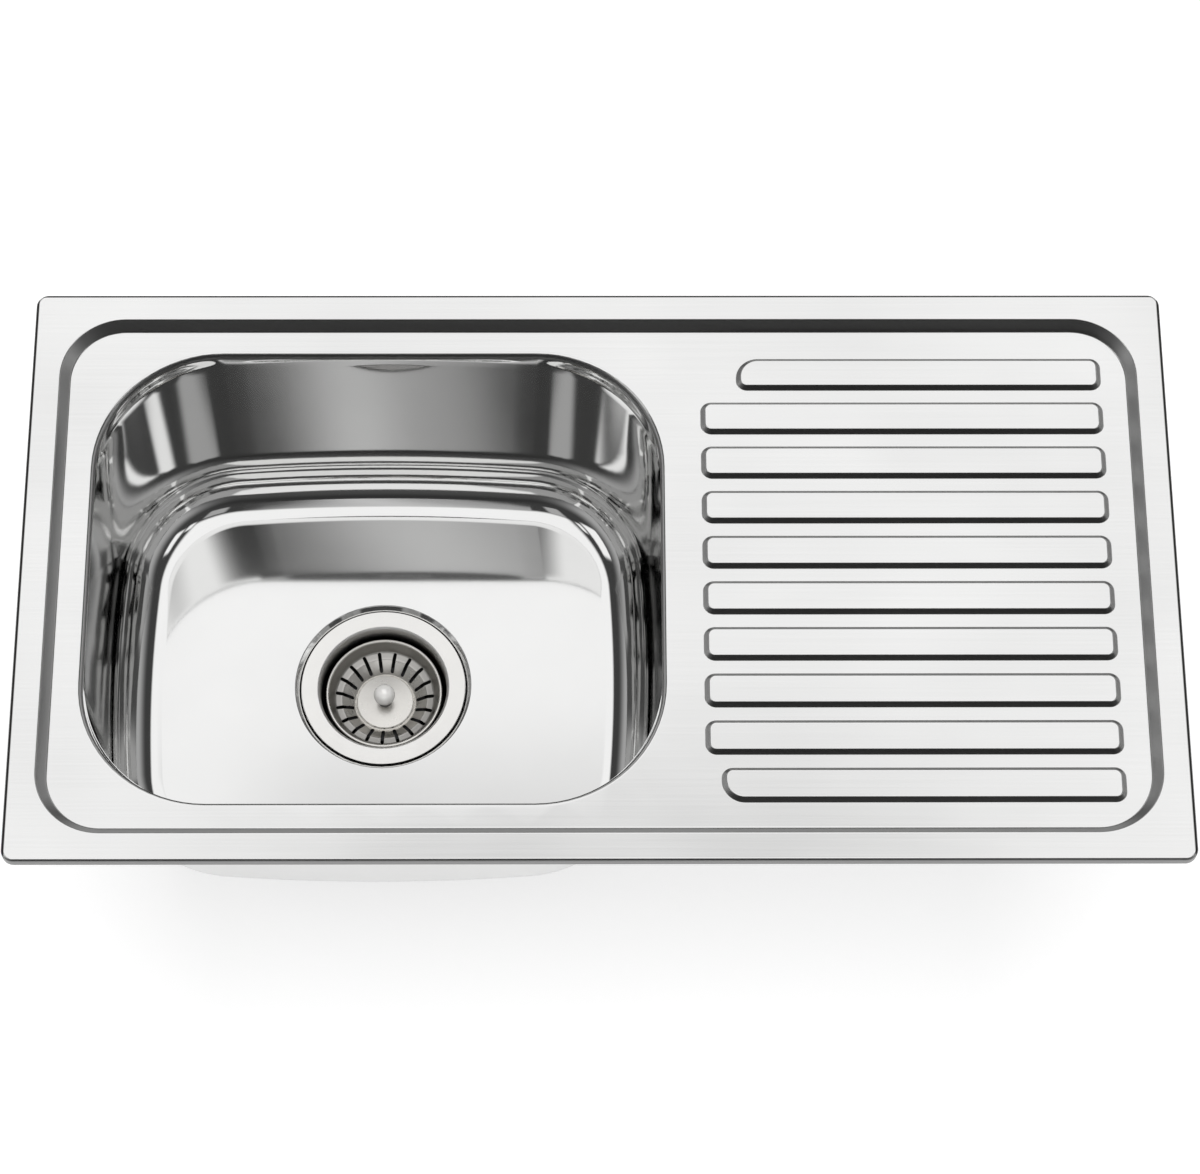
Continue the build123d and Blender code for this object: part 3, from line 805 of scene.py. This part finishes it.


# Surface of each slot: tone, roughness, metal, waves of the grain per metre along each axis, its depth in
# millimetres, waves of the clouds, the share by which they darken, and the function that paints shade into
# the tone
SURFACES = {
    "deck_steel": ((0.90, 0.90, 0.895), 0.12, 1, (6, 700, 700), 0.004, BROAD, 0.10, steep_painted_shade),
    "bowl_steel": ((0.89, 0.89, 0.885), 0.055, 1, (30, 30, 600), 0.002, BROAD, 0.05, bowl_dull_outside_painted_light),
    "waste_steel": ((0.90, 0.89, 0.87), 0.14, 1, EVEN, 0.002, CLOSE, 0.06, cup_painted_shade),
    "basket_steel": ((0.92, 0.90, 0.86), 0.30, 1, EVEN, 0.006, CLOSE, 0.15, basket_painted_shade),
    "knob_steel": ((0.95, 0.94, 0.92), 0.15, 0.20, EVEN, 0.002, CLOSE, 0.06, knob_painted_shade),
    "plated_steel": ((0.68, 0.69, 0.70), 0.28, 1, EVEN, 0.01, CLOSE, 0.20),
    "rubber": ((0.035, 0.035, 0.036), 0.55, 0, (900, 900, 900), 0.02, CLOSE, 0.30),
    "foam": ((0.09, 0.09, 0.092), 0.85, 0, (1400, 1400, 1400), 0.08, CLOSE, 0.35),
    "fibre": ((0.50, 0.38, 0.25), 0.80, 0, (700, 700, 2500), 0.04, CLOSE, 0.30),
    "damping": ((0.11, 0.11, 0.115), 0.75, 0, (500, 500, 500), 0.10, CLOSE, 0.30),
    "nut_plastic": ((0.78, 0.78, 0.76), 0.42, 0, (600, 600, 600), 0.01, CLOSE, 0.06),
}
surfaces = {name: material(name, *values) for name, values in SURFACES.items()}


def dress(piece, slot):
    """Gives a piece or a node the surface of its slot."""
    piece.data.materials.clear()
    piece.data.materials.append(surfaces[slot])


def soften(node):
    """Small bevel and smooth shading on a node that keeps its own shape."""
    weld = node.modifiers.new("weld", "WELD")
    weld.merge_threshold = CAD_WELD * MM
    edge = node.modifiers.new("edge", "BEVEL")
    edge.width = CAD_BEVEL * MM
    edge.segments = CAD_BEVEL_STEPS
    edge.limit_method = "ANGLE"
    edge.angle_limit = SHARP_ANGLE
    edge.use_clamp_overlap = True
    node.data.polygons.foreach_set("use_smooth", [True] * len(node.data.polygons))
    normals = node.modifiers.new("normals", "WEIGHTED_NORMAL")
    normals.weight = NORMAL_WEIGHT


def sky():
    """Studio round the sink: light panels in a dark ceiling, pale walls, and shade low in front."""
    world = bpy.data.worlds.new("studio")
    bpy.context.scene.world = world
    world.use_nodes = True
    tree = world.node_tree
    direction = node_axes(tree, tree.nodes.new("ShaderNodeTexCoord").outputs["Generated"])
    across, back, up = direction["X"], direction["Y"], direction["Z"]
    walls = node_range(tree, up, *WALL_TOP, WALL_LEVEL, 0.0)
    shade = node_range(tree, back, *FRONT_TURN, 1 - FRONT_SHADE, 1.0)
    level = node_value(tree, "MULTIPLY", node_value(tree, "ADD", walls, CEILING_LEVEL), shade)
    height = node_value(tree, "MAXIMUM", up, LEAST_HEIGHT)
    right = node_value(tree, "DIVIDE", across, height)
    behind = node_value(tree, "DIVIDE", back, height)

    def patch(x, y, half_x, half_y, soft, bright):
        """Level of one soft-edged panel."""
        spread_x = node_value(tree, "ABSOLUTE", node_value(tree, "SUBTRACT", right, x), 0.0)
        spread_y = node_value(tree, "ABSOLUTE", node_value(tree, "SUBTRACT", behind, y), 0.0)
        inside_x = node_range(tree, spread_x, half_x - soft / 2, half_x + soft / 2, 1.0, 0.0)
        inside_y = node_range(tree, spread_y, half_y - soft / 2, half_y + soft / 2, bright, 0.0)
        return node_value(tree, "MULTIPLY", inside_x, inside_y)

    for panel in PANELS:
        level = node_value(tree, "MAXIMUM", level, patch(*panel))
    level = node_value(tree, "SUBTRACT", level, patch(*DIMMED))
    level = node_value(tree, "MAXIMUM", level, node_range(tree, up, *HORIZON, 1.0, 0.0))
    tree.links.new(level, tree.nodes["Background"].inputs["Color"])


def studio_floor():
    """Wide pale floor under the outlet, white to the eye and in the metal, darker where shaded."""
    mesh = bpy.data.meshes.new("floor")
    level = cad_box[0].z - FLOOR_GAP
    corners = [(-1, -1), (1, -1), (1, 1), (-1, 1)]
    mesh.from_pydata([(x * FLOOR_REACH, y * FLOOR_REACH, level) for x, y in corners], [], [(0, 1, 2, 3)])
    floor = bpy.data.objects.new("floor", mesh)
    bpy.context.scene.collection.objects.link(floor)
    surface = bpy.data.materials.new("floor_white")
    surface.use_nodes = True
    tree = surface.node_tree
    shader = tree.nodes["Principled BSDF"]
    shader.inputs["Base Color"].default_value = (FLOOR_TONE, FLOOR_TONE, FLOOR_TONE, 1)
    shader.inputs["Roughness"].default_value = FLOOR_ROUGH
    path = tree.nodes.new("ShaderNodeLightPath").outputs
    seen = node_value(tree, "ADD", path["Is Camera Ray"], path["Is Glossy Ray"])
    seen = node_value(tree, "ADD", seen, path["Is Transmission Ray"])
    shader.inputs["Emission Color"].default_value = (1, 1, 1, 1)
    tree.links.new(node_value(tree, "MULTIPLY", seen, FLOOR_GLOW), shader.inputs["Emission Strength"])
    mesh.materials.append(surface)


def lamp():
    """Wide soft lamp overhead for what isn't metal; the metal is lit by the panels alone."""
    data = bpy.data.lights.new("overhead", "AREA")
    data.size = LAMP_SIZE
    data.energy = LAMP_POWER
    obj = bpy.data.objects.new("overhead", data)
    obj.location = (0, 0, LAMP_HEIGHT)
    obj.visible_glossy = False
    bpy.context.scene.collection.objects.link(obj)


def camera():
    """Camera at the photograph's place, angle and lens."""
    data = bpy.data.cameras.new("camera")
    data.lens = CAMERA_LENS
    data.sensor_width = SENSOR_WIDTH
    data.sensor_fit = "HORIZONTAL"
    obj = bpy.data.objects.new("camera", data)
    bpy.context.scene.collection.objects.link(obj)
    aim = Matrix(((1, 0, 0), (0, 0, -1), (0, 1, 0)))
    turn = (Matrix.Rotation(CAMERA_ROLL, 3, "Z") @ Matrix.Rotation(CAMERA_PITCH, 3, "X") @ aim
            @ Matrix.Rotation(CAMERA_YAW, 3, "Z"))
    flip = Matrix.Diagonal((1, -1, -1))
    obj.matrix_world = Matrix.Translation(CAMERA_PLACE) @ (turn.transposed() @ flip).to_4x4()
    bpy.context.scene.camera = obj


made = {"deck_panel": make_deck(), "bowl": make_bowl(), "strainer_cup": make_cup(), "basket": make_basket(),
        "knob": make_knob()}
for name, piece in made.items():
    dress(piece, slot_of[name])
for name, node in nodes.items():
    dress(node, slot_of[name])
    if name not in made:
        soften(node)
sky()
studio_floor()
lamp()
camera()
bpy.context.scene.view_settings.view_transform = "Standard"
